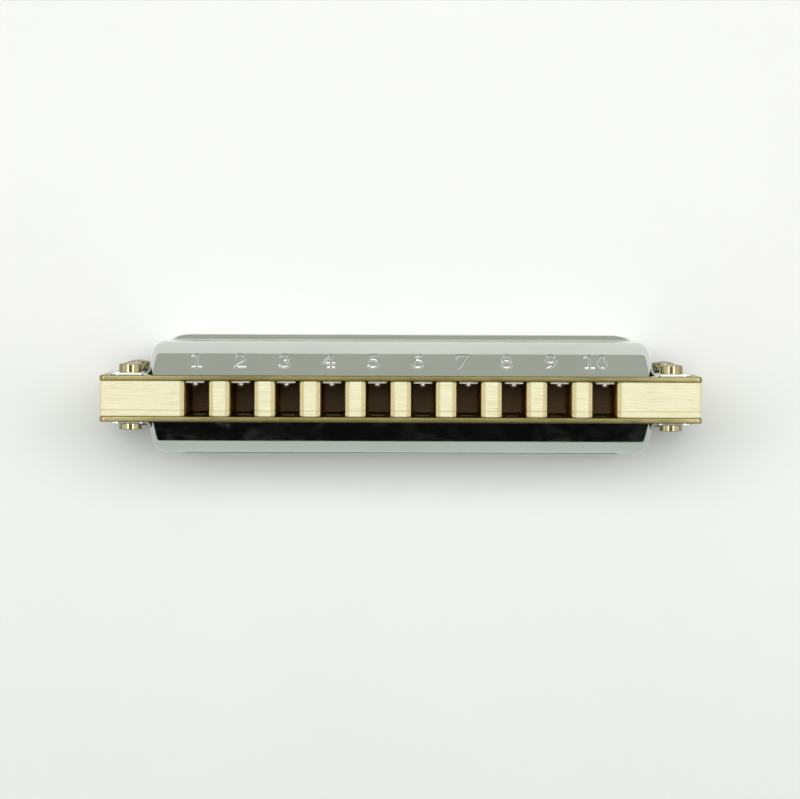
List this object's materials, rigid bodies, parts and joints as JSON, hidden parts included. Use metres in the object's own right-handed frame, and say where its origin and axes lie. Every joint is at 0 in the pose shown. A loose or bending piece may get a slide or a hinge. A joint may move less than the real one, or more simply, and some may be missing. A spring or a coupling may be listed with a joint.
{
  "type": "diatonic harmonica",
  "caption": "Diatonic harmonica standing on its rear edges: wooden comb, brass reed plates with swinging reeds, polished sheet-metal covers and brass bolts.",
  "frame": {"origin": "middle of the plane of the rear edges, on which the instrument stands", "axes": "+X along the instrument from the lowest note's hole to the highest, +Y out of the upper (blow) cover, +Z out of the mouth holes"},
  "size_m": [0.0996, 0.0206, 0.026],
  "materials": {
    "comb_wood": "sealed pale bamboo, fine lengthwise grain",
    "plate_brass": "satin, lightly toned",
    "reed_brass": "bright, drawn strip",
    "rivet_metal": "bright domed",
    "cover_chrome": "polished",
    "bolt_brass": "antique, turned",
    "screw_brass": "turned"
  },
  "bodies": {
    "body": {"comb": "comb_wood", "blow_reed_plate": "plate_brass", "draw_reed_plate": "plate_brass", "upper_cover": "cover_chrome", "lower_cover": "cover_chrome", "blow_reed_rivets": "rivet_metal", "draw_reed_rivets": "rivet_metal", "cover_bolts": "bolt_brass", "cover_nuts": "bolt_brass", "blow_plate_screws": "screw_brass", "draw_plate_screws": "screw_brass"},
    "blow_reed_1": {"blow_reed_1": "reed_brass"},
    "blow_reed_2": {"blow_reed_2": "reed_brass"},
    "blow_reed_3": {"blow_reed_3": "reed_brass"},
    "blow_reed_4": {"blow_reed_4": "reed_brass"},
    "blow_reed_5": {"blow_reed_5": "reed_brass"},
    "blow_reed_6": {"blow_reed_6": "reed_brass"},
    "blow_reed_7": {"blow_reed_7": "reed_brass"},
    "blow_reed_8": {"blow_reed_8": "reed_brass"},
    "blow_reed_9": {"blow_reed_9": "reed_brass"},
    "blow_reed_10": {"blow_reed_10": "reed_brass"},
    "draw_reed_1": {"draw_reed_1": "reed_brass"},
    "draw_reed_2": {"draw_reed_2": "reed_brass"},
    "draw_reed_3": {"draw_reed_3": "reed_brass"},
    "draw_reed_4": {"draw_reed_4": "reed_brass"},
    "draw_reed_5": {"draw_reed_5": "reed_brass"},
    "draw_reed_6": {"draw_reed_6": "reed_brass"},
    "draw_reed_7": {"draw_reed_7": "reed_brass"},
    "draw_reed_8": {"draw_reed_8": "reed_brass"},
    "draw_reed_9": {"draw_reed_9": "reed_brass"},
    "draw_reed_10": {"draw_reed_10": "reed_brass"}
  },
  "joints": [
    {"name": "blow_reed_1_swing", "type": "hinge", "parent": "body", "child": "blow_reed_1", "pos_m": [-0.03411, 0.00282, 0.021], "axis": [1, 0, 0], "range_deg": [-4, 4], "stiffness_Nm_per_rad": 0.0137, "deforming": ["blow_reed_1"]},
    {"name": "blow_reed_2_swing", "type": "hinge", "parent": "body", "child": "blow_reed_2", "pos_m": [-0.02656, 0.00282, 0.021], "axis": [1, 0, 0], "range_deg": [-4, 4], "stiffness_Nm_per_rad": 0.01871, "deforming": ["blow_reed_2"]},
    {"name": "blow_reed_3_swing", "type": "hinge", "parent": "body", "child": "blow_reed_3", "pos_m": [-0.019, 0.00282, 0.021], "axis": [1, 0, 0], "range_deg": [-4, 4], "stiffness_Nm_per_rad": 0.02263, "deforming": ["blow_reed_3"]},
    {"name": "blow_reed_4_swing", "type": "hinge", "parent": "body", "child": "blow_reed_4", "pos_m": [-0.01145, 0.00282, 0.021], "axis": [1, 0, 0], "range_deg": [-4, 4], "stiffness_Nm_per_rad": 0.03425, "deforming": ["blow_reed_4"]},
    {"name": "blow_reed_5_swing", "type": "hinge", "parent": "body", "child": "blow_reed_5", "pos_m": [-0.0039, 0.00282, 0.021], "axis": [1, 0, 0], "range_deg": [-4, 4], "stiffness_Nm_per_rad": 0.04583, "deforming": ["blow_reed_5"]},
    {"name": "blow_reed_6_swing", "type": "hinge", "parent": "body", "child": "blow_reed_6", "pos_m": [0.00366, 0.00282, 0.021], "axis": [1, 0, 0], "range_deg": [-4, 4], "stiffness_Nm_per_rad": 0.05416, "deforming": ["blow_reed_6"]},
    {"name": "blow_reed_7_swing", "type": "hinge", "parent": "body", "child": "blow_reed_7", "pos_m": [0.01121, 0.00282, 0.021], "axis": [1, 0, 0], "range_deg": [-4, 4], "stiffness_Nm_per_rad": 0.0799, "deforming": ["blow_reed_7"]},
    {"name": "blow_reed_8_swing", "type": "hinge", "parent": "body", "child": "blow_reed_8", "pos_m": [0.01876, 0.00282, 0.021], "axis": [1, 0, 0], "range_deg": [-4, 4], "stiffness_Nm_per_rad": 0.104, "deforming": ["blow_reed_8"]},
    {"name": "blow_reed_9_swing", "type": "hinge", "parent": "body", "child": "blow_reed_9", "pos_m": [0.02632, 0.00282, 0.021], "axis": [1, 0, 0], "range_deg": [-4, 4], "stiffness_Nm_per_rad": 0.1191, "deforming": ["blow_reed_9"]},
    {"name": "blow_reed_10_swing", "type": "hinge", "parent": "body", "child": "blow_reed_10", "pos_m": [0.03387, 0.00282, 0.021], "axis": [1, 0, 0], "range_deg": [-4, 4], "stiffness_Nm_per_rad": 0.1697, "deforming": ["blow_reed_10"]},
    {"name": "draw_reed_1_swing", "type": "hinge", "parent": "body", "child": "draw_reed_1", "pos_m": [-0.03411, -0.00398, 0.0062], "axis": [1, 0, 0], "range_deg": [-4, 4], "stiffness_Nm_per_rad": 0.01396, "deforming": ["draw_reed_1"]},
    {"name": "draw_reed_2_swing", "type": "hinge", "parent": "body", "child": "draw_reed_2", "pos_m": [-0.02656, -0.00398, 0.00676], "axis": [1, 0, 0], "range_deg": [-4, 4], "stiffness_Nm_per_rad": 0.02151, "deforming": ["draw_reed_2"]},
    {"name": "draw_reed_3_swing", "type": "hinge", "parent": "body", "child": "draw_reed_3", "pos_m": [-0.019, -0.00398, 0.00731], "axis": [1, 0, 0], "range_deg": [-4, 4], "stiffness_Nm_per_rad": 0.02938, "deforming": ["draw_reed_3"]},
    {"name": "draw_reed_4_swing", "type": "hinge", "parent": "body", "child": "draw_reed_4", "pos_m": [-0.01145, -0.00398, 0.00787], "axis": [1, 0, 0], "range_deg": [-4, 4], "stiffness_Nm_per_rad": 0.03551, "deforming": ["draw_reed_4"]},
    {"name": "draw_reed_5_swing", "type": "hinge", "parent": "body", "child": "draw_reed_5", "pos_m": [-0.0039, -0.00398, 0.00842], "axis": [1, 0, 0], "range_deg": [-4, 4], "stiffness_Nm_per_rad": 0.04265, "deforming": ["draw_reed_5"]},
    {"name": "draw_reed_6_swing", "type": "hinge", "parent": "body", "child": "draw_reed_6", "pos_m": [0.00366, -0.00398, 0.00898], "axis": [1, 0, 0], "range_deg": [-4, 4], "stiffness_Nm_per_rad": 0.05703, "deforming": ["draw_reed_6"]},
    {"name": "draw_reed_7_swing", "type": "hinge", "parent": "body", "child": "draw_reed_7", "pos_m": [0.01121, -0.00398, 0.00953], "axis": [1, 0, 0], "range_deg": [-4, 4], "stiffness_Nm_per_rad": 0.06004, "deforming": ["draw_reed_7"]},
    {"name": "draw_reed_8_swing", "type": "hinge", "parent": "body", "child": "draw_reed_8", "pos_m": [0.01876, -0.00398, 0.01009], "axis": [1, 0, 0], "range_deg": [-4, 4], "stiffness_Nm_per_rad": 0.07029, "deforming": ["draw_reed_8"]},
    {"name": "draw_reed_9_swing", "type": "hinge", "parent": "body", "child": "draw_reed_9", "pos_m": [0.02632, -0.00398, 0.01064], "axis": [1, 0, 0], "range_deg": [-4, 4], "stiffness_Nm_per_rad": 0.08143, "deforming": ["draw_reed_9"]},
    {"name": "draw_reed_10_swing", "type": "hinge", "parent": "body", "child": "draw_reed_10", "pos_m": [0.03387, -0.00398, 0.0112], "axis": [1, 0, 0], "range_deg": [-4, 4], "stiffness_Nm_per_rad": 0.1047, "deforming": ["draw_reed_10"]}
  ]
}
